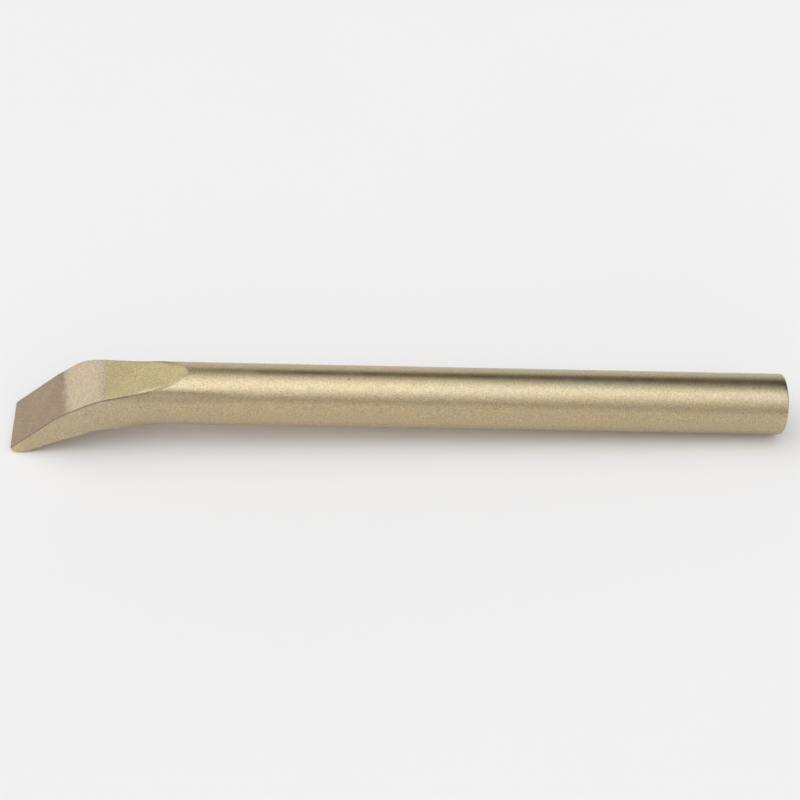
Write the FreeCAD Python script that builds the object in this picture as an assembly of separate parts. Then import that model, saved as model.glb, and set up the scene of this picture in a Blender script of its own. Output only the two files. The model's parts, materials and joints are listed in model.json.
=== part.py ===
import FreeCAD, Part
import math
import os

# A one-piece bent cold chisel: a round bar, forged flat at one end, with the flattened end bent
# down and ground to a cutting edge.
# Frame: the origin is the centre of the struck face. +X runs along the bar away from the blade,
# so the whole tool lies at negative X. +Z is the upper side, and the blade dips towards -Z.
# All lengths are in millimetres, all angles in degrees.

# Shank and head
SHANK_R = 10.0            # radius of the round bar
TOOL_LENGTH = 250.0       # from the struck face to the cutting edge, along the bar
HEAD_ROUND = 0.6          # radius of the rounded rim of the struck face

# Upper face of the blade, seen from the side
FLAT_START = 193.5        # where the upper flat first cuts into the round bar
FLAT_ANGLE_START = 13.0   # slope of the upper flat at its start
FLAT_ANGLE_END = 6.9      # slope where the flat reaches the bend: it is slightly hollow
BEND_START = 219.2        # where the flat turns into the bend
BEND_R = 24.3             # radius of the bend on the upper side
BEND_ANGLE = 37.2         # slope of the blade after the bend
GROUND_ANGLE = 43.4       # slope of the ground face that ends in the cutting edge
EDGE_Z = -16.4            # height of the cutting edge

# Lower face of the blade, seen from the side
LOWER_START = 194.0       # where the lower flat first cuts into the round bar
LOWER_ANGLE_1 = 6.3       # slope of the lower flat, rising towards the blade
LOWER_ANGLE_2 = 26.4      # slope of the lower face of the blade, falling to the heel
LOWER_CORNER_X = -222.5   # where the two lower slopes would meet
LOWER_R = 9.0             # radius of the hollow between them
NOSE_R = 3.5              # radius of the rounded heel under the cutting edge

# Width of the blade, seen from above
SPREAD_START_LOW = 198.0  # at the bottom, the sides begin to turn from round to flat here
SPREAD_START_TOP = 209.5  # and at the top here
SPREAD_END = 231.0        # the sides are fully flat
BEND_HALF_WIDTH = 10.65   # half width where the forging spread most
EDGE_HALF_WIDTH = 10.05   # half width at the cutting edge
NARROW_START = 226.0      # the blade narrows from the one to the other
NARROW_END = 236.0

# Helpers for the forged blank before its upper and lower faces are cut
BLANK_HALF_HEIGHT = 9.5   # every section of the blank is this high above and below its middle
BLANK_START = 197.5       # the blank takes over from the turned bar here
SAG_START = 205.0         # the middle of the blank sags as a parabola from here
SAG_PER_MM2 = 0.0077
BLANK_END = 253.0         # the blank runs past the cutting edge before it is cut
SECTION_STEP = 2.65       # spacing of the blank's sections along the bar
SIDE_POINTS = 9           # points up each side of a section
CLEAR = 20.0              # how far the cutting outline stays clear of the round bar


def slope(angle):
    return math.tan(math.radians(angle))


def smooth_step(value, start, end):
    u = min(1.0, max(0.0, (value - start) / (end - start)))
    return u * u * (3.0 - 2.0 * u)


def point(x, z):
    return FreeCAD.Vector(x, 0.0, z)


def direction(angle):
    # Unit vector in the side view, pointing to the right and up by the angle.
    return FreeCAD.Vector(math.cos(math.radians(angle)), 0.0, math.sin(math.radians(angle)))


def line(a, b):
    return Part.LineSegment(a, b).toShape()


def arc(a, b, c):
    return Part.Arc(a, b, c).toShape()


def arc_between(start, angle_start, angle_end, radius):
    # Middle and end of an arc that leaves the start towards -X, falling at the first angle and
    # steepening to the second. Its centre is below it. A negative radius makes the slope ease off.
    def at(angle):
        dx = radius * (math.sin(math.radians(angle)) - math.sin(math.radians(angle_start)))
        dz = radius * (math.cos(math.radians(angle_start)) - math.cos(math.radians(angle)))
        return point(start.x - dx, start.z - dz)
    return at(0.5 * (angle_start + angle_end)), at(angle_end)


def upper_outline():
    # From the right, above the bar, to the cutting edge.
    start = point(-FLAT_START, SHANK_R)
    lead = point(-FLAT_START + CLEAR / slope(FLAT_ANGLE_START), SHANK_R + CLEAR)
    spread = math.sin(math.radians(FLAT_ANGLE_START)) - math.sin(math.radians(FLAT_ANGLE_END))
    hollow_r = (BEND_START - FLAT_START) / spread
    flat_mid, flat_end = arc_between(start, FLAT_ANGLE_START, FLAT_ANGLE_END, -hollow_r)
    bend_mid, bend_end = arc_between(flat_end, FLAT_ANGLE_END, BEND_ANGLE, BEND_R)
    edge = point(-TOOL_LENGTH, EDGE_Z)
    # The bend's tangent line and the ground face's line meet at the grinding line.
    rise = edge.z + (bend_end.x - edge.x) * slope(GROUND_ANGLE) - bend_end.z
    run = rise / (slope(GROUND_ANGLE) - slope(BEND_ANGLE))
    grind = point(bend_end.x - run, bend_end.z - run * slope(BEND_ANGLE))
    edges = [line(lead, start), arc(start, flat_mid, flat_end), arc(flat_end, bend_mid, bend_end)]
    edges.append(line(bend_end, grind))
    edges.append(line(grind, edge))
    return edges, lead, edge


def lower_outline(edge):
    # From the cutting edge round the heel and back to the right, below the bar.
    corner_z = -SHANK_R + (-LOWER_CORNER_X - LOWER_START) * slope(LOWER_ANGLE_1)
    corner = point(LOWER_CORNER_X, corner_z)
    blade_dir = direction(LOWER_ANGLE_2)
    normal = FreeCAD.Vector(-blade_dir.z, 0.0, blade_dir.x)
    # The heel's centre is NOSE_R above the lower face, and NOSE_R from the cutting edge.
    gap = edge - corner
    height = gap.dot(normal)
    along = gap.dot(blade_dir) + math.sqrt(NOSE_R ** 2 - (height - NOSE_R) ** 2)
    centre = corner + blade_dir * along + normal * NOSE_R
    heel_end = corner + blade_dir * along
    middle = (edge - centre).normalize() + (heel_end - centre).normalize()
    heel_mid = centre + middle.normalize() * NOSE_R
    # The hollow under the bend is tangent to both lower faces.
    reach = LOWER_R * math.tan(math.radians(0.5 * (LOWER_ANGLE_1 + LOWER_ANGLE_2)))
    bar_dir = direction(-LOWER_ANGLE_1)
    hollow_start = corner - blade_dir * reach
    hollow_end = corner + bar_dir * reach
    hollow_centre = hollow_end + FreeCAD.Vector(bar_dir.z, 0.0, -bar_dir.x) * LOWER_R
    hollow_mid = hollow_centre + (corner - hollow_centre).normalize() * LOWER_R
    run = CLEAR / slope(LOWER_ANGLE_1)
    trail = point(-LOWER_START + run, -SHANK_R - CLEAR)
    edges = [arc(edge, heel_mid, heel_end), line(heel_end, hollow_start)]
    edges.append(arc(hollow_start, hollow_mid, hollow_end))
    edges.append(line(hollow_end, trail))
    return edges, trail


def side_prism():
    # The side view of the tool, extruded across its width.
    upper, lead, edge = upper_outline()
    lower, trail = lower_outline(edge)
    right = max(lead.x, trail.x) + CLEAR
    closing = [line(trail, point(right, trail.z)), line(point(right, trail.z), point(right, lead.z))]
    closing.append(line(point(right, lead.z), lead))
    wire = Part.Wire(upper + lower + closing)
    face = Part.Face(wire)
    face.translate(FreeCAD.Vector(0.0, -CLEAR, 0.0))
    return face.extrude(FreeCAD.Vector(0.0, 2.0 * CLEAR, 0.0))


def half_width(x, z_from_middle):
    # Round bar at the start of the spread, flat-sided blade at its end.
    height = 0.5 + 0.5 * z_from_middle / BLANK_HALF_HEIGHT
    start = SPREAD_START_LOW + (SPREAD_START_TOP - SPREAD_START_LOW) * height
    flat = smooth_step(x, start, SPREAD_END)
    narrow = smooth_step(x, NARROW_START, NARROW_END)
    blade = BEND_HALF_WIDTH + (EDGE_HALF_WIDTH - BEND_HALF_WIDTH) * narrow
    round_bar = math.sqrt(SHANK_R ** 2 - z_from_middle ** 2)
    return (1.0 - flat) * round_bar + flat * blade


def side_edge(x, points):
    # The first sections are still part of the round bar, so their sides are true arcs.
    if x <= SPREAD_START_LOW:
        return arc(points[0], points[SIDE_POINTS // 2], points[-1])
    curve = Part.BSplineCurve()
    curve.interpolate(points)
    return curve.toShape()


def blank_section(x):
    # One closed section of the blank, at the distance x from the struck face.
    middle = -SAG_PER_MM2 * max(0.0, x - SAG_START) ** 2
    right_side = []
    left_side = []
    for i in range(SIDE_POINTS):
        z = BLANK_HALF_HEIGHT * (2.0 * i / (SIDE_POINTS - 1) - 1.0)
        right_side.append(FreeCAD.Vector(-x, half_width(x, z), middle + z))
        left_side.append(FreeCAD.Vector(-x, -half_width(x, z), middle + z))
    left_side.reverse()
    top = line(right_side[-1], left_side[0])
    bottom = line(left_side[-1], right_side[0])
    return Part.Wire([side_edge(x, right_side), top, side_edge(x, left_side), bottom])


def forged_blank():
    # The spread end of the bar before its upper and lower faces are cut.
    count = int(round((BLANK_END - BLANK_START) / SECTION_STEP))
    step = (BLANK_END - BLANK_START) / count
    sections = [blank_section(BLANK_START + i * step) for i in range(count + 1)]
    return Part.makeLoft(sections, True, False)


def round_bar():
    # The round shank with the rounded rim of the struck face, turned about the X axis.
    start = FreeCAD.Vector(-BLANK_START, 0.0, 0.0)
    bar = Part.makeCylinder(SHANK_R, BLANK_START, start, FreeCAD.Vector(1.0, 0.0, 0.0))
    rim = [e for e in bar.Edges if e.BoundBox.XMin > -0.001]
    return bar.makeFillet(HEAD_ROUND, rim)


def chisel_body():
    prism = side_prism()
    bar = round_bar().common(prism)
    blade = forged_blank().common(prism)
    body = bar.fuse(blade)
    return body.removeSplitter()


os.makedirs("parts", exist_ok=True)
body = chisel_body()
solid = body.Solids[0]
volume_cm3 = solid.Volume / 1000.0
print("solids", len(body.Solids), "valid", solid.isValid(), "volume cm3", round(volume_cm3, 2))
box = solid.optimalBoundingBox()
print("box x", round(box.XMin, 3), round(box.XMax, 3), "y", round(box.YMin, 3), round(box.YMax, 3))
print("box z", round(box.ZMin, 3), round(box.ZMax, 3))
solid.exportStep("parts/chisel_body.step")
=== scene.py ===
import json
import math

import bmesh
import bpy
import numpy as np
from mathutils import Matrix, Vector, noise


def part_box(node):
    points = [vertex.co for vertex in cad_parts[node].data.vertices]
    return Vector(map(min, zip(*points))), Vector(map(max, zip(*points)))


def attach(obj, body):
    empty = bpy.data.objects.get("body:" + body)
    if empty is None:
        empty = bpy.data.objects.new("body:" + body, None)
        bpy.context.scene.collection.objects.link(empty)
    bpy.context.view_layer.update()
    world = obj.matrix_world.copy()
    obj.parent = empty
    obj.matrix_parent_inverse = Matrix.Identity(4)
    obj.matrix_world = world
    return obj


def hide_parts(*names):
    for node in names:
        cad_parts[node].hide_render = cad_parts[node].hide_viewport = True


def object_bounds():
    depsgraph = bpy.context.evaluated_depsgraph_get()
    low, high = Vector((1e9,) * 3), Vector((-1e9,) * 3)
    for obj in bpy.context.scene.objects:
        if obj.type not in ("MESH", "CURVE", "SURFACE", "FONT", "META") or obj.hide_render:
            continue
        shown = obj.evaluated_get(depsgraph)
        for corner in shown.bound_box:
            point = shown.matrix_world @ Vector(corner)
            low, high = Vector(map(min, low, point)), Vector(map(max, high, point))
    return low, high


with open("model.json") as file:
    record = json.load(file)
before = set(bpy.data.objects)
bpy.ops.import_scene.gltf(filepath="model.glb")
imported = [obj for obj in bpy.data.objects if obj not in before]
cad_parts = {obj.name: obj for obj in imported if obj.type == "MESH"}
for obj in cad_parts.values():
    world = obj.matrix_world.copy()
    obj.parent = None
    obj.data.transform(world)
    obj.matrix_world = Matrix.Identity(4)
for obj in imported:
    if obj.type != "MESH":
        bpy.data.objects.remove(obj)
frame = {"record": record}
cad_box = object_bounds()

# A one-piece bent cold chisel. The frame's origin is the centre of the struck face, +X runs along
# the bar away from the blade, and +Z is the upper side. Outlines are worked out in millimetres,
# with "back" as the distance from the struck face towards the blade, and scaled to metres once.
MM = 0.001

mounts = {m["name"]: m for m in frame["record"]["mounts"]}
low_corner, high_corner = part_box("chisel_body")

SHANK_R = mounts["shank"]["dims"]["r_mm"]
TOOL_LENGTH = -low_corner[0] / MM
LOWEST_Z = low_corner[2] / MM

# Side outline of the blade
FLAT_START = 193.5
FLAT_ANGLE_START = 13.0
FLAT_ANGLE_END = 6.9
BEND_START = 219.2
BEND_R = 24.3
BEND_ANGLE = 37.2
GROUND_ANGLE = 43.4
EDGE_Z = -16.4
LOWER_START = 194.0
LOWER_ANGLE_1 = 6.3
LOWER_ANGLE_2 = 26.4
LOWER_CORNER = 222.5
LOWER_R = 9.0
NOSE_R = 3.5
HEEL_BACK = 246.8         # the lowest point of the heel, which the tool rests on

# Width of the blade
SPREAD_START_LOW = 198.0
SPREAD_START_TOP = 209.5
SPREAD_END = 231.0
BEND_HALF_WIDTH = 10.65
EDGE_HALF_WIDTH = 10.05
NARROW_START = 226.0
NARROW_END = 236.0
BLANK_HALF_HEIGHT = 9.5
SAG_START = 205.0         # the middle of the blade sags as a parabola from here
SAG_PER_MM2 = 0.0077

# Mesh
OUTLINE_START = 172.0     # the outlines start here, still on the round bar
COLUMNS = 240             # points round each ring
COLUMN_CROWDING = 1.35    # above 1, the columns crowd towards the edges between faces
BLADE_RINGS = 245
BLADE_RING_CROWDING = 1.25
BAR_RINGS = 100
ARC_POINTS = 60
HOLLOW_POINTS = 24
OUTLINE_SAMPLES = 2400
HALVINGS = 44             # steps of each search for the surface
EDGE_SEARCH_REACH = 1.2   # in shank radii
SURFACE_SEARCH_REACH = 1.8  # as a scale on the ring's half width and half height
TURNED_FADE = 0.02        # the turned side goes over to the forged one as its flatness rises to this
LEAST_HALF_WIDTH = 0.1    # of the round side, where a point is above or below the bar
OUTLINE_SOFTEN = 0.35     # how far the outline's corners are rounded along the blade
EDGE_SOFTEN = 0.16        # reach of the rounding between two faces
EDGE_SOFTEN_RUN = 6.0     # the rounding fades in over this length where the flats begin
EDGE_SOFTEN_SHARE = 0.7   # and it never reaches further than this share of half the thickness
START_SOFTEN = 0.45       # more reach, where the flats run out into the round bar
START_SOFTEN_IN = (193.0, 198.0)
START_SOFTEN_OUT = (202.0, 214.0)
EDGE_JOIN = 1.2           # the columns follow the edges from this far behind their start
HEAD_ROUND = 0.6
HEAD_ROUND_RINGS = 8
HEAD_CROWN = 0.10         # the struck face falls away this much from its middle to its rim
HEAD_RINGS = 14
HEAD_CENTRE_R = 0.4

# Surface unevenness left by forging
BAR_WAVE = 0.012
BLADE_WAVE = 0.075
WAVE_LENGTH = 9.0
RIPPLE = 0.45             # a finer wave on top, relative to the main one
RIPPLE_SCALE = 2.3        # and this many times as fine
RIPPLE_SHIFT = Vector((7.0, 3.0, 1.0))
GROUND_EVENNESS = 0.75    # the grinding takes away this share of the unevenness
EDGE_STRAIGHT = (5.0, 0.5)  # the unevenness fades out between these distances from the edge

# Zones along the upper face, as distances back from the struck face
HOLLOW_END = 220.6
HOLLOW_FADE = (2.3, 0.16)  # its border fades over this length, and this much more per mm across
BEND_FADE = 0.7
FACE_BLUR = 0.25          # half the reach of the border between a face and the side
GROUND_START = 232.6
ZONE_SKEW = 0.12          # the zones' borders run a little askew across the blade
GRINDING_WOBBLE = 0.2     # the grinding line is not quite straight
GRINDING_BLUR = 1.5       # half the reach of the grinding line's soft border
GRINDING_BLUR_SKEW = 0.6  # the border is sharper towards the far side
GRINDING_TURNS = (0.8, 1.9)  # the two waves of its wobble, in radians per mm across
GRINDING_SHIFT = 1.0
GRINDING_LINE_REACH = 1.3
EDGE_SHADE_DEPTH = 0.16         # the middle of the painted shade line under the upper edge, below the face
EDGE_SHADE_REACH = 0.26         # how far it fades out up and down
EDGE_SHADE_STARTS = (195.5, 202.5)  # it fades in between these
FLANK_ANGLE = 45.0        # height of the flattened flank round the bar, in degrees
FLANK_SPREAD = 13.0
FLANK_DEPTH = 0.38
FLANK_STARTS = (170.0, 200.0)
FLANK_ENDS = (204.0, 213.0)
NOSE_SIDE_START = 245.6   # the sides are tinted lighter and lemon from here to the cutting edge
NOSE_SIDE_BLUR = 0.8
STRUCK_SHARE = 0.35       # the struck look fades out over this share of the rim's rounding
STRUCK_MARGIN = 0.01      # and begins to fade this far before the rounding
FORGED_END = 227.0        # from the start of the spread to here, the forged look comes in


def slope(angle):
    return math.tan(math.radians(angle))


def smooth(value, start, end):
    u = np.clip((value - start) / (end - start), 0.0, 1.0)
    return u * u * (3.0 - 2.0 * u)


# ---------------------------------------------------------------- side outlines

def falling_arc(start, angle_start, angle_end, radius):
    # An arc that runs back from the start, its fall going from the first angle to the second.
    angles = np.radians(np.linspace(angle_start, angle_end, ARC_POINTS))
    back = start[0] + radius * (np.sin(angles) - np.sin(angles[0]))
    height = start[1] - radius * (np.cos(angles[0]) - np.cos(angles))
    return np.stack([back, height], axis=1)


def upper_outline():
    spread = math.sin(math.radians(FLAT_ANGLE_START)) - math.sin(math.radians(FLAT_ANGLE_END))
    hollow_r = (BEND_START - FLAT_START) / spread
    flat = falling_arc((FLAT_START, SHANK_R), FLAT_ANGLE_START, FLAT_ANGLE_END, -hollow_r)
    bend = falling_arc(flat[-1], FLAT_ANGLE_END, BEND_ANGLE, BEND_R)
    end_back, end_height = bend[-1]
    rise = EDGE_Z + (TOOL_LENGTH - end_back) * slope(GROUND_ANGLE) - end_height
    run = rise / (slope(GROUND_ANGLE) - slope(BEND_ANGLE))
    grinding_line = [end_back + run, end_height - run * slope(BEND_ANGLE)]
    bar = [[OUTLINE_START, SHANK_R]]
    edge = [[TOOL_LENGTH, EDGE_Z]]
    return np.concatenate([bar, flat, bend[1:], [grinding_line], edge])


def lower_outline():
    corner_height = -SHANK_R + (LOWER_CORNER - LOWER_START) * slope(LOWER_ANGLE_1)
    corner = np.array([LOWER_CORNER, corner_height])
    edge = np.array([TOOL_LENGTH, EDGE_Z])
    fall = math.radians(LOWER_ANGLE_2)
    along = np.array([math.cos(fall), -math.sin(fall)])
    normal = np.array([math.sin(fall), math.cos(fall)])
    gap = edge - corner
    height = gap @ normal
    reach = gap @ along - math.sqrt(NOSE_R ** 2 - (height - NOSE_R) ** 2)
    centre = corner + along * reach + normal * NOSE_R
    start = math.atan2(-normal[1], -normal[0])
    end = math.atan2(edge[1] - centre[1], edge[0] - centre[0])
    angles = np.linspace(start, end, ARC_POINTS)
    nose = centre + NOSE_R * np.stack([np.cos(angles), np.sin(angles)], axis=1)
    # The hollow under the bend is an arc that is tangent to both lower faces.
    rise = math.radians(LOWER_ANGLE_1)
    reach = LOWER_R * math.tan(0.5 * (rise + fall))
    hollow_start = corner - reach * np.array([math.cos(rise), math.sin(rise)])
    hollow_centre = hollow_start + LOWER_R * np.array([math.sin(rise), -math.cos(rise)])
    turns = np.linspace(rise, -fall, HOLLOW_POINTS)
    hollow = hollow_centre + LOWER_R * np.stack([-np.sin(turns), np.cos(turns)], axis=1)
    bar = [[OUTLINE_START, -SHANK_R], [LOWER_START, -SHANK_R]]
    return np.concatenate([bar, hollow, nose])


def travel_along(outline):
    steps = np.linalg.norm(np.diff(outline, axis=0), axis=1)
    return np.concatenate([[0.0], np.cumsum(steps)])


def at_share(outline, share):
    travel = travel_along(outline)
    wanted = share * travel[-1]
    return np.stack([np.interp(wanted, travel, outline[:, k]) for k in (0, 1)], axis=1)


def softened(outline, reach):
    # Rounds an outline's corners with a moving average that leaves both ends where they are.
    fine = at_share(outline, np.linspace(0.0, 1.0, OUTLINE_SAMPLES))
    half = max(1, int(round(reach / travel_along(outline)[-1] * OUTLINE_SAMPLES)))
    window = np.hanning(2 * half + 3)[1:-1]
    window /= window.sum()
    before = 2.0 * fine[0] - fine[half:0:-1]
    after = 2.0 * fine[-1] - fine[-2:-2 - half:-1]
    padded = np.concatenate([before, fine, after])
    return np.stack([np.convolve(padded[:, k], window, mode="valid") for k in (0, 1)], axis=1)


# ---------------------------------------------------------------- cross sections

def soft_min(a, b, reach):
    overlap = np.maximum(reach - np.abs(a - b), 0.0)
    return np.minimum(a, b) - overlap * overlap / (4.0 * np.maximum(reach, 1e-9))


def side_depth(back, y, z):
    # Depth under the tool's side: round on the bar, flat on the blade.
    rise = z + SAG_PER_MM2 * np.maximum(back - SAG_START, 0.0) ** 2
    height = np.clip(0.5 + 0.5 * rise / BLANK_HALF_HEIGHT, 0.0, 1.0)
    start = SPREAD_START_LOW + (SPREAD_START_TOP - SPREAD_START_LOW) * height
    flat = smooth(back, start, SPREAD_END)
    narrow = smooth(back, NARROW_START, NARROW_END)
    blade = BEND_HALF_WIDTH + (EDGE_HALF_WIDTH - BEND_HALF_WIDTH) * narrow
    round_side = np.sqrt(np.maximum(SHANK_R ** 2 - rise ** 2, LEAST_HALF_WIDTH ** 2))
    half_width = (1.0 - flat) * round_side + flat * blade
    lean = (1.0 - flat) * rise / round_side
    forged = (half_width - np.abs(y)) / np.sqrt(1.0 + lean ** 2)
    turned = SHANK_R - np.hypot(y, rise)
    return turned + (forged - turned) * smooth(flat, 0.0, TURNED_FADE)


def edge_turns(outline, start):
    # The angle, seen from the middle of each ring, at which a face meets the side.
    back = outline[:, 0]
    low = np.zeros(len(outline))
    high = np.full(len(outline), EDGE_SEARCH_REACH * SHANK_R)
    for _ in range(HALVINGS):
        middle = 0.5 * (low + high)
        inside = side_depth(back, middle, outline[:, 1]) > 0.0
        low = np.where(inside, middle, low)
        high = np.where(inside, high, middle)
    turns = np.arctan2(SHANK_R, low)
    join = int(np.argmax(back > start + EDGE_JOIN))
    lead = smooth(back[:join], OUTLINE_START, start + EDGE_JOIN)
    eighth = 0.25 * math.pi
    turns[:join] = eighth + (turns[join] - eighth) * lead
    return turns


def column_turns(upper_edge, lower_edge, crowding):
    # The angle of each column of a ring. The columns an eighth of the way round, and the like,
    # run along the edges between the faces, so the edges stay sharp.
    step = np.arange(COLUMNS // 8) / (COLUMNS // 8)

    def quarter(edge):
        edge = edge[:, None]
        to_edge = edge * (1.0 - (1.0 - step) ** crowding)
        past_edge = edge + (0.5 * math.pi - edge) * step ** crowding
        return np.concatenate([to_edge, past_edge], axis=1)

    above = quarter(upper_edge)
    below = quarter(lower_edge)
    ends = np.full((len(upper_edge), 1), 0.5 * math.pi)
    above_back = math.pi - np.concatenate([above[:, 1:], ends], axis=1)[:, ::-1]
    below_front = -np.concatenate([below[:, 1:], ends], axis=1)[:, ::-1]
    return np.concatenate([above, above_back, below - math.pi, below_front], axis=1)


def blade_rings():
    # Rings of points across the blade, each between a point of the upper outline and one of the
    # lower. Returns positions (back, y, z), how much deeper a point lies under the side than
    # under the faces, and whether it is in the upper half.
    share = np.linspace(0.0, 1.0, BLADE_RINGS + 1)[:-1]
    share = 1.0 - (1.0 - share) ** BLADE_RING_CROWDING
    upper = at_share(softened(upper_outline(), OUTLINE_SOFTEN), share)
    lower = at_share(softened(lower_outline(), OUTLINE_SOFTEN), share)
    middle = 0.5 * (upper + lower)
    half = 0.5 * np.linalg.norm(upper - lower, axis=1)
    up = (upper - lower) / (2.0 * half[:, None])
    crowding = 1.0 + (COLUMN_CROWDING - 1.0) * smooth(middle[:, :1], OUTLINE_START, FLAT_START)
    upper_edge = edge_turns(upper, FLAT_START)
    lower_edge = edge_turns(lower, LOWER_START)
    turn = column_turns(upper_edge, lower_edge, crowding)
    across = SHANK_R * np.cos(turn)
    rise = half[:, None] * np.sin(turn)
    reach = EDGE_SOFTEN * smooth(middle[:, 0], FLAT_START, FLAT_START + EDGE_SOFTEN_RUN)
    run_out = smooth(middle[:, 0], *START_SOFTEN_IN) * (1.0 - smooth(middle[:, 0], *START_SOFTEN_OUT))
    reach = reach + START_SOFTEN * run_out
    reach = np.minimum(reach, EDGE_SOFTEN_SHARE * half)[:, None]

    def depths(scale):
        y = scale * across
        a = scale * rise
        back = middle[:, 0:1] + a * up[:, 0:1]
        z = middle[:, 1:2] + a * up[:, 1:2]
        side = side_depth(back, y, z)
        faces = np.minimum(half[:, None] - a, half[:, None] + a)
        return back, y, z, side, faces, a

    low = np.zeros((len(share), COLUMNS))
    high = np.full((len(share), COLUMNS), SURFACE_SEARCH_REACH)
    for _ in range(HALVINGS):
        scale = 0.5 * (low + high)
        _, _, _, side, faces, _ = depths(scale)
        inside = soft_min(side, faces, reach) > 0.0
        low = np.where(inside, scale, low)
        high = np.where(inside, high, scale)
    back, y, z, side, faces, a = depths(0.5 * (low + high))
    return np.stack([back, y, z], axis=2), side - faces, a > 0.0


def bar_rings():
    # Rings of points from near the centre of the struck face, over its rim and along the bar.
    turn = 2.0 * math.pi * np.arange(COLUMNS) / COLUMNS
    start = HEAD_CROWN + HEAD_ROUND
    backs = []
    radii = []
    flat_r = SHANK_R - HEAD_ROUND
    for k in range(HEAD_RINGS):
        r = HEAD_CENTRE_R + (flat_r - HEAD_CENTRE_R) * k / HEAD_RINGS
        backs.append(HEAD_CROWN * (r / flat_r) ** 2)
        radii.append(r)
    for k in range(HEAD_ROUND_RINGS + 1):
        t = 0.5 * math.pi * k / HEAD_ROUND_RINGS
        backs.append(start - HEAD_ROUND * math.cos(t))
        radii.append(flat_r + HEAD_ROUND * math.sin(t))
    for k in range(1, BAR_RINGS):
        backs.append(start + (OUTLINE_START - start) * k / BAR_RINGS)
        radii.append(SHANK_R)
    back = np.repeat(np.array(backs)[:, None], COLUMNS, axis=1)
    radius = np.array(radii)[:, None]
    return np.stack([back, radius * np.cos(turn), radius * np.sin(turn)], axis=2)


# ---------------------------------------------------------------- the tool's mesh

def forged_wave(position, amount):
    # How far a point is moved in or out by the unevenness of the forging.
    spot = Vector(position) / WAVE_LENGTH
    value = noise.noise(spot) + RIPPLE * noise.noise(spot * RIPPLE_SCALE + RIPPLE_SHIFT)
    return amount * value


def flank_dent(rings):
    # The dies pressed the bar's upper flanks a little flat where the upper flat begins: each
    # flank is low along one line and proud along another above it.
    height = np.degrees(np.arctan2(rings[:, :, 2], np.abs(rings[:, :, 1])))
    away = (height - FLANK_ANGLE) / FLANK_SPREAD
    start = smooth(rings[:, :, 0], *FLANK_STARTS)
    end = 1.0 - smooth(rings[:, :, 0], *FLANK_ENDS)
    return FLANK_DEPTH * away * np.exp(-away ** 2) * start * end


def face_masks(bar_count, ring_count, side_minus_face, on_top):
    # Three numbers from 0 to 1 on each point: on a face rather than a side, in the upper half, and
    # on the line of painted shade that runs along the side just under the upper edge.
    face = np.zeros((ring_count, COLUMNS))
    face[bar_count:] = smooth(side_minus_face, -FACE_BLUR, FACE_BLUR)
    top = np.zeros((ring_count, COLUMNS))
    top[bar_count:] = on_top
    line = np.zeros((ring_count, COLUMNS))
    line[bar_count:] = np.exp(-((side_minus_face + EDGE_SHADE_DEPTH) / EDGE_SHADE_REACH) ** 2) * on_top
    return face, top, line


def surface_zones(rings, face, top, line):
    # The zones of the surface as numbers from 0 to 1 on each point of the mesh.
    back = rings[:, :, 0]
    y = rings[:, :, 1]
    slow, quick = GRINDING_TURNS
    wobble = np.sin(slow * y + GRINDING_SHIFT) + np.sin(quick * y)
    grinding_line = GROUND_START + ZONE_SKEW * y + GRINDING_WOBBLE * wobble
    blur = GRINDING_BLUR * (1.0 - GRINDING_BLUR_SKEW * y / SHANK_R)
    hollow_end = HOLLOW_END + ZONE_SKEW * y
    hollow_fade = HOLLOW_FADE[0] + HOLLOW_FADE[1] * y
    bend = smooth(back, hollow_end - hollow_fade, hollow_end + BEND_FADE)
    upper = face * top
    side = 1.0 - face
    nose = smooth(back, NOSE_SIDE_START - NOSE_SIDE_BLUR, NOSE_SIDE_START + NOSE_SIDE_BLUR)
    struck_from = HEAD_CROWN + STRUCK_SHARE * HEAD_ROUND
    struck_to = HEAD_CROWN - STRUCK_MARGIN
    return {
        "zone_hollow": upper * (1.0 - bend),
        "zone_bend": upper * bend,
        "zone_ground": upper * smooth(back, grinding_line - blur, grinding_line + blur),
        "zone_under_edge": line * smooth(back, *EDGE_SHADE_STARTS),
        # Painted shade: a dark line along the side just under the upper edge, darkening the rounded
        # edge's highlight.
        "zone_grinding_line": upper * np.exp(-((back - grinding_line) / GRINDING_LINE_REACH) ** 2),
        "zone_nose_side": side * nose,
        "zone_struck": smooth(-back, -struck_from, -struck_to),
        "zone_blade": smooth(back, SPREAD_START_LOW, FORGED_END),
    }


def forged_rings(rings, zones):
    # Forging unevenness, pushed out from each ring's middle. The grinding evens it out.
    centre = rings.mean(axis=1)
    dent = flank_dent(rings)
    moved = rings.copy()
    for i in range(len(rings)):
        for j in range(COLUMNS):
            amount = BAR_WAVE + (BLADE_WAVE - BAR_WAVE) * zones["zone_blade"][i, j]
            amount *= 1.0 - GROUND_EVENNESS * zones["zone_ground"][i, j]
            if i < HEAD_RINGS:
                amount = 0.0
            out = rings[i, j] - centre[i]
            length = max(1e-6, float(np.linalg.norm(out)))
            moved[i, j] += out / length * (forged_wave(rings[i, j], amount) + dent[i, j])
    # The cutting edge itself stays straight.
    from_edge, to_edge = EDGE_STRAIGHT
    fade = smooth(rings[:, :, 0], TOOL_LENGTH - from_edge, TOOL_LENGTH - to_edge)[:, :, None]
    return moved * (1.0 - fade) + rings * fade


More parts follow.
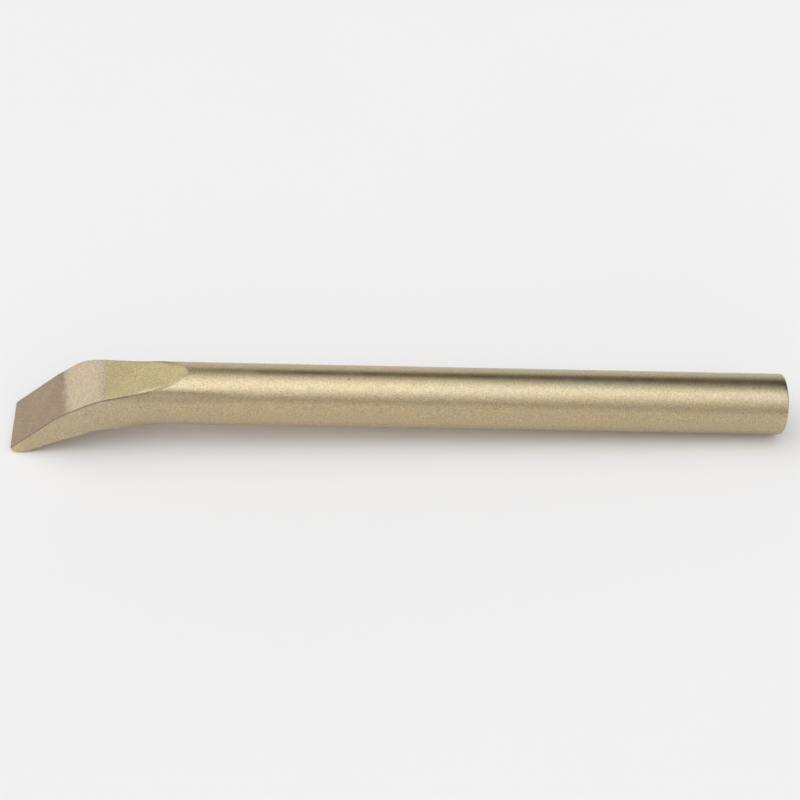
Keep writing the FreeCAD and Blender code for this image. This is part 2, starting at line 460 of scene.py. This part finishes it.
def build_tool():
    bar = bar_rings()
    blade, side_minus_face, on_top = blade_rings()
    rings = np.concatenate([bar, blade])
    masks = face_masks(len(bar), len(rings), side_minus_face, on_top)
    zones = surface_zones(rings, *masks)
    rings = forged_rings(rings, zones)

    mesh = bmesh.new()
    layers = {name: mesh.verts.layers.float.new(name) for name in zones}
    grid = []
    for i in range(len(rings)):
        row = []
        for j in range(COLUMNS):
            b, y, z = rings[i, j]
            vert = mesh.verts.new((-b * MM, y * MM, z * MM))
            for name, values in zones.items():
                vert[layers[name]] = values[i, j]
            row.append(vert)
        grid.append(row)
    for near, far in zip(grid[:-1], grid[1:]):
        for j in range(COLUMNS):
            k = (j + 1) % COLUMNS
            mesh.faces.new((near[j], near[k], far[k], far[j]))
    close_head(mesh, grid[0], layers["zone_struck"])
    close_edge(mesh, grid[-1], layers)
    bmesh.ops.recalc_face_normals(mesh, faces=mesh.faces)
    data = bpy.data.meshes.new("chisel_forging")
    mesh.to_mesh(data)
    mesh.free()
    for polygon in data.polygons:
        polygon.use_smooth = True
    tool = bpy.data.objects.new("chisel_forging", data)
    bpy.context.collection.objects.link(tool)
    return tool


def close_head(mesh, ring, struck):
    middle = mesh.verts.new((0.0, 0.0, 0.0))
    middle[struck] = 1.0
    for j in range(COLUMNS):
        mesh.faces.new((middle, ring[(j + 1) % COLUMNS], ring[j]))


def close_edge(mesh, ring, layers):
    # The last ring closes on the straight cutting edge: each upper point shares its edge point
    # with the lower point under it.
    half = COLUMNS // 2
    line = []
    for j in range(half + 1):
        vert = mesh.verts.new((-TOOL_LENGTH * MM, ring[j].co.y, EDGE_Z * MM))
        for layer in layers.values():
            vert[layer] = ring[j][layer]
        line.append(vert)
    for j in range(half):
        mesh.faces.new((ring[j], ring[j + 1], line[j + 1], line[j]))
        low_a = ring[(COLUMNS - j) % COLUMNS]
        low_b = ring[COLUMNS - j - 1]
        mesh.faces.new((low_b, low_a, line[j], line[j + 1]))


# ---------------------------------------------------------------- materials

class Nodes:
    # A short way to write a node tree.
    def __init__(self, tree):
        self.tree = tree
        self.tree.nodes.clear()

    def new(self, kind, inputs=None, **settings):
        node = self.tree.nodes.new(kind)
        for name, value in settings.items():
            setattr(node, name, value)
        for key, value in (inputs or {}).items():
            self.put(node.inputs[key], value)
        return node

    def put(self, socket, value):
        if isinstance(value, bpy.types.NodeSocket):
            self.tree.links.new(value, socket)
        elif isinstance(value, tuple) and len(value) == 3 and socket.type == "RGBA":
            socket.default_value = (*value, 1.0)
        else:
            socket.default_value = value

    def math(self, operation, a, b=0.0):
        return self.new("ShaderNodeMath", {0: a, 1: b}, operation=operation).outputs[0]

    def mix(self, factor, a, b, blend="MIX"):
        node = self.new("ShaderNodeMix", data_type="RGBA", blend_type=blend)
        self.put(node.inputs[0], factor)
        self.put(node.inputs[6], a)
        self.put(node.inputs[7], b)
        return node.outputs[2]

    def range(self, value, low, high, to_low=0.0, to_high=1.0):
        sockets = {0: value, 1: low, 2: high, 3: to_low, 4: to_high}
        return self.new("ShaderNodeMapRange", sockets, interpolation_type="SMOOTHSTEP").outputs[0]

    def noise(self, place, scale, detail=2.0, roughness=0.5):
        sockets = {"Vector": place, "Scale": scale, "Detail": detail, "Roughness": roughness}
        return self.new("ShaderNodeTexNoise", sockets).outputs[0]

    def attribute(self, name):
        return self.new("ShaderNodeAttribute", attribute_name=name).outputs["Fac"]

    def bump(self, height, distance):
        sockets = {"Height": height, "Distance": distance, "Strength": 1.0}
        return self.new("ShaderNodeBump", sockets).outputs[0]


BRONZE_WARM = (0.520, 0.412, 0.248)
BRONZE_COOL = (0.500, 0.412, 0.260)
BRONZE_FORGED = (0.530, 0.434, 0.300)
LEMON = (0.640, 0.530, 0.290)
LEMON_DARK = (0.588, 0.480, 0.262)
CREAM = (0.640, 0.525, 0.375)
MAUVE = (0.355, 0.258, 0.184)
MAUVE_OLIVE = (0.385, 0.292, 0.182)
# The dark of the pits and of the smudges at the grinding line, also used as painted shade under the
# upper edge.
PIT_SMUDGE_AND_SHADE = (0.160, 0.125, 0.075)

# How strongly each zone's colour covers the bar's
FORGED_COVER = 0.6
HOLLOW_COVER = 0.9
BEND_COVER = 0.85
GROUND_COVER = 0.9
NOSE_SIDE_COVER = 0.5
SMUDGE_COVER = 0.35
EDGE_SHADE_COVER = 0.8
PIT_COVER = 0.4

# Noise scales, in periods per metre
CLOUD_SCALE = 70.0
PATCH_SCALE = 160.0
ROUGHNESS_SCALE = 260.0
SMUDGE_SCALE = 320.0
COARSE_GRAIN_SCALE = 900.0
PIT_SCALE = 1300.0
FINE_GRAIN_SCALE = 3000.0

# Levels of a noise between which the look goes from its first state to its second
CLOUD_LEVELS = (0.3, 0.7)
PATCH_LEVELS = (0.35, 0.65)
SMUDGE_LEVELS = (0.35, 0.7)
PIT_LEVELS = (0.71, 0.77)

FINE_SHARE = 0.8          # the rest of the grain is coarse
GRAIN_SHADE = (0.72, 1.28)
PIT_DEPTH = 0.8           # relative to the grain
GRAIN_DEPTH = 0.00003
ROUGHNESS = (0.285, 0.335)
UPPER_FACE_ROUGHER = 0.14
STRUCK_ROUGHER = 0.05
FACING_PITCH = 0.00035
FACING_DEPTH = 0.3        # relative to the grain


def covered(n, colour, zone, cover, new_colour):
    return n.mix(n.math("MULTIPLY", zone, cover), colour, new_colour)


def bronze_colour(n, place, grain, pit):
    # Warm and cool clouds, then the zones of the blade with a line of painted shade under the upper
    # edge, then grain and pits.
    cloud = n.range(n.noise(place, CLOUD_SCALE, detail=3.0), *CLOUD_LEVELS)
    patch = n.range(n.noise(place, PATCH_SCALE, detail=3.0), *PATCH_LEVELS)
    colour = n.mix(cloud, BRONZE_COOL, BRONZE_WARM)
    colour = covered(n, colour, n.attribute("zone_blade"), FORGED_COVER, BRONZE_FORGED)
    lemon = n.mix(patch, LEMON_DARK, LEMON)
    colour = covered(n, colour, n.attribute("zone_hollow"), HOLLOW_COVER, lemon)
    colour = covered(n, colour, n.attribute("zone_bend"), BEND_COVER, CREAM)
    mauve = n.mix(patch, MAUVE, MAUVE_OLIVE)
    colour = covered(n, colour, n.attribute("zone_ground"), GROUND_COVER, mauve)
    colour = covered(n, colour, n.attribute("zone_nose_side"), NOSE_SIDE_COVER, LEMON)
    smears = n.range(n.noise(place, SMUDGE_SCALE), *SMUDGE_LEVELS)
    smudge = n.math("MULTIPLY", n.attribute("zone_grinding_line"), smears)
    colour = covered(n, colour, smudge, SMUDGE_COVER, PIT_SMUDGE_AND_SHADE)
    # Painted shade: darkens the side just under the upper edge, where the rounded edge would catch
    # the overhead light.
    colour = covered(n, colour, n.attribute("zone_under_edge"), EDGE_SHADE_COVER, PIT_SMUDGE_AND_SHADE)
    shade = n.range(grain, *CLOUD_LEVELS, *GRAIN_SHADE)
    shades = n.new("ShaderNodeCombineXYZ", {0: shade, 1: shade, 2: shade}).outputs[0]
    colour = n.mix(1.0, colour, shades, "MULTIPLY")
    return covered(n, colour, pit, PIT_COVER, PIT_SMUDGE_AND_SHADE)


def bronze_roughness(n, place):
    # The bar has a soft shine, and the blade's upper face is duller.
    rough = n.range(n.noise(place, ROUGHNESS_SCALE, detail=4.0), *CLOUD_LEVELS, *ROUGHNESS)
    extra = {"zone_hollow": UPPER_FACE_ROUGHER, "zone_bend": UPPER_FACE_ROUGHER,
             "zone_struck": STRUCK_ROUGHER}
    for zone, amount in extra.items():
        rough = n.math("ADD", rough, n.math("MULTIPLY", n.attribute(zone), amount))
    return rough


def bronze_normal(n, place, grain, pit):
    # Blasted grain, pits, and faint rings of facing marks on the struck face.
    _, place_y, place_z = n.new("ShaderNodeSeparateXYZ", {0: place}).outputs
    square_y = n.math("MULTIPLY", place_y, place_y)
    square_z = n.math("MULTIPLY", place_z, place_z)
    radius = n.math("SQRT", n.math("ADD", square_y, square_z))
    facing = n.math("SINE", n.math("MULTIPLY", radius, 2.0 * math.pi / FACING_PITCH))
    facing = n.math("MULTIPLY", facing, n.attribute("zone_struck"))
    facing = n.math("MULTIPLY", facing, FACING_DEPTH)
    pitted = n.math("SUBTRACT", grain, n.math("MULTIPLY", pit, PIT_DEPTH))
    return n.bump(n.math("ADD", pitted, facing), GRAIN_DEPTH)


def bronze_material():
    material = bpy.data.materials.new("blasted_bronze")
    material.use_nodes = True
    n = Nodes(material.node_tree)
    place = n.new("ShaderNodeTexCoord").outputs["Object"]
    fine = n.noise(place, FINE_GRAIN_SCALE, roughness=0.7)
    coarse = n.noise(place, COARSE_GRAIN_SCALE, detail=3.0, roughness=0.6)
    fine_part = n.math("MULTIPLY", fine, FINE_SHARE)
    coarse_part = n.math("MULTIPLY", coarse, 1.0 - FINE_SHARE)
    grain = n.math("ADD", fine_part, coarse_part)
    pit = n.range(n.noise(place, PIT_SCALE, detail=1.0, roughness=0.4), *PIT_LEVELS)
    sockets = {
        "Base Color": bronze_colour(n, place, grain, pit),
        "Roughness": bronze_roughness(n, place),
        "Normal": bronze_normal(n, place, grain, pit),
        "Metallic": 1.0,
    }
    shader = n.new("ShaderNodeBsdfPrincipled", sockets)
    n.new("ShaderNodeOutputMaterial", {"Surface": shader.outputs[0]})
    return material


FLOOR_COLOURS = ((0.878, 0.842, 0.808), (0.898, 0.862, 0.828))
FLOOR_CLOUD_SCALE = 6.0


def floor_material():
    # Matt and pale. It is see-through from below, so that the underside can be looked at.
    material = bpy.data.materials.new("pale_floor")
    material.use_nodes = True
    n = Nodes(material.node_tree)
    place = n.new("ShaderNodeTexCoord").outputs["Object"]
    colour = n.mix(n.noise(place, FLOOR_CLOUD_SCALE), *FLOOR_COLOURS)
    matt = n.new("ShaderNodeBsdfDiffuse", {"Color": colour}).outputs[0]
    clear = n.new("ShaderNodeBsdfTransparent").outputs[0]
    below = n.new("ShaderNodeNewGeometry").outputs["Backfacing"]
    surface = n.new("ShaderNodeMixShader", {0: below, 1: matt, 2: clear}).outputs[0]
    n.new("ShaderNodeOutputMaterial", {"Surface": surface})
    return material


# ---------------------------------------------------------------- floor, light and camera

FLOOR_REACH = 4.0         # metres each way
FLOOR_GAP = 0.05          # millimetres under the tool


def build_floor():
    # The tool rests on its heel and on the lower rim of the head, so the floor passes under both.
    heel = Vector((-HEEL_BACK * MM, 0.0, LOWEST_Z * MM))
    head = Vector((-HEAD_ROUND * MM, 0.0, -SHANK_R * MM))
    along = (head - heel).normalized()
    down = Vector((along.z, 0.0, -along.x)) * (FLOOR_GAP * MM)
    middle = 0.5 * (heel + head) + down
    mesh = bmesh.new()
    corners = []
    for a, b in ((-1, -1), (1, -1), (1, 1), (-1, 1)):
        spot = middle + along * (a * FLOOR_REACH) + Vector((0.0, b * FLOOR_REACH, 0.0))
        corners.append(mesh.verts.new(spot))
    mesh.faces.new(corners)
    data = bpy.data.meshes.new("floor")
    mesh.to_mesh(data)
    mesh.free()
    floor = bpy.data.objects.new("floor", data)
    bpy.context.collection.objects.link(floor)
    data.materials.append(floor_material())


# The studio, by height: an angle in degrees that starts at the front horizon, passes overhead at
# 90 and ends at the back horizon. A wide soft light hangs between pale walls. In front of it is a
# dim gap, and behind it a dark one, which is widest on the right and closes on the left.
WALL_LIGHT = 0.93
OVERHEAD_LIGHT = (1.96, 1.75)     # on the left, and on the right
OVERHEAD_ANGLE = 84.0
OVERHEAD_SPREAD = 28.0
OVERHEAD_TINT = (0.96, 1.03, 1.12)
FRONT_GAP_DEPTH = 0.62
FRONT_GAP_ANGLE = (25.0, 8.5)     # where it begins, on the left and on the right
FRONT_GAP_EDGE = 3.0               # half the width of its sharp lower border
FRONT_GAP_SPREAD = 15.0
BACK_GAP_DEPTH = 0.98
BACK_GAP_ANGLE = (139.0, 125.0)    # its middle, on the left and on the right
BACK_GAP_SPREAD = (15.0, 36.0)
# Where these change, by the sideways part of the direction
BACK_GAP_OPENS_X = (-0.34, -0.08)  # the back gap goes from closed to open
RIGHT_X = (0.11, 0.33)             # the left's values go over to the right's
END_X = (0.55, 0.90)               # the far right becomes dimmer
END_DEPTH = 0.45
BANDS_END_X = (0.65, 0.95)         # towards both ends, the light and gaps fade into the walls
WHITE = (1.0, 1.0, 1.0)


def lobe(n, angle, middle, spread, sharpness=1):
    # 1 at its middle, falling softly to 0. A sharper lobe has a flatter top and steeper sides.
    away = n.math("DIVIDE", n.math("SUBTRACT", angle, middle), spread)
    away = n.math("MULTIPLY", away, away)
    if sharpness > 1:
        away = n.math("MULTIPLY", away, away)
    return n.math("EXPONENT", n.math("MULTIPLY", away, -1.0))


def studio_level(n, angle, x, overhead, bands):
    # Brightness of the studio in one direction.
    to_right = n.range(x, *RIGHT_X)

    def between(pair):
        return n.math("ADD", n.math("MULTIPLY", to_right, pair[1] - pair[0]), pair[0])

    def darkened(level, amount):
        return n.math("MULTIPLY", level, n.math("SUBTRACT", 1.0, amount))

    above_walls = n.math("SUBTRACT", between(OVERHEAD_LIGHT), WALL_LIGHT)
    level = n.math("ADD", n.math("MULTIPLY", overhead, above_walls), WALL_LIGHT)
    above_gap = n.math("SUBTRACT", angle, between(FRONT_GAP_ANGLE))
    front_gap = lobe(n, above_gap, FRONT_GAP_EDGE, FRONT_GAP_SPREAD)
    opening = n.range(above_gap, -FRONT_GAP_EDGE, FRONT_GAP_EDGE, 0.0, FRONT_GAP_DEPTH)
    front_gap = n.math("MULTIPLY", front_gap, opening)
    level = darkened(level, n.math("MULTIPLY", front_gap, bands))
    back_gap = lobe(n, angle, between(BACK_GAP_ANGLE), between(BACK_GAP_SPREAD), 2)
    opening = n.range(x, *BACK_GAP_OPENS_X, 0.0, BACK_GAP_DEPTH)
    back_gap = n.math("MULTIPLY", back_gap, opening)
    level = darkened(level, n.math("MULTIPLY", back_gap, bands))
    return n.math("MULTIPLY", level, n.range(x, *END_X, 1.0, 1.0 - END_DEPTH))


def build_light():
    world = bpy.data.worlds.new("studio")
    world.use_nodes = True
    bpy.context.scene.world = world
    n = Nodes(world.node_tree)
    direction = n.new("ShaderNodeTexCoord").outputs["Generated"]
    x, y, z = n.new("ShaderNodeSeparateXYZ", {0: direction}).outputs
    angle = n.math("DEGREES", n.math("ARCTAN2", z, n.math("MULTIPLY", y, -1.0)))
    bands = n.range(n.math("ABSOLUTE", x), *BANDS_END_X, 1.0, 0.0)
    overhead = n.math("MULTIPLY", bands, lobe(n, angle, OVERHEAD_ANGLE, OVERHEAD_SPREAD))
    level = studio_level(n, angle, x, overhead, bands)
    colour = n.mix(overhead, WHITE, OVERHEAD_TINT)
    background = n.new("ShaderNodeBackground", {"Color": colour, "Strength": level})
    n.new("ShaderNodeOutputWorld", {"Surface": background.outputs[0]})


LENS = 79.56
CAMERA_AZIMUTH = -6.93
CAMERA_ELEVATION = 46.52
CAMERA_ROLL = 6.09
CAMERA_DISTANCE = 0.572
AIM_ALONG = -0.00048      # the camera aims this far from the middle of the CAD box
AIM_HEIGHT = -0.00136
SENSOR_WIDTH = 36.0


def build_camera():
    low, high = cad_box
    aim = Vector((0.5 * (low[0] + high[0]) + AIM_ALONG, 0.0, AIM_HEIGHT))
    a = math.radians(CAMERA_AZIMUTH)
    e = math.radians(CAMERA_ELEVATION)
    back = Vector((math.sin(a) * math.cos(e), -math.cos(a) * math.cos(e), math.sin(e)))
    data = bpy.data.cameras.new("camera")
    data.lens = LENS
    data.sensor_width = SENSOR_WIDTH
    camera = bpy.data.objects.new("camera", data)
    bpy.context.collection.objects.link(camera)
    turn = (-back).to_track_quat("-Z", "Y").to_matrix().to_4x4()
    roll = Matrix.Rotation(math.radians(CAMERA_ROLL), 4, "Z")
    camera.matrix_world = Matrix.Translation(aim + back * CAMERA_DISTANCE) @ turn @ roll
    bpy.context.scene.camera = camera


tool = build_tool()
tool.data.materials.append(bronze_material())
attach(tool, "root")
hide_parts("chisel_body")

build_floor()
build_light()
build_camera()
bpy.context.scene.view_settings.view_transform = "Standard"
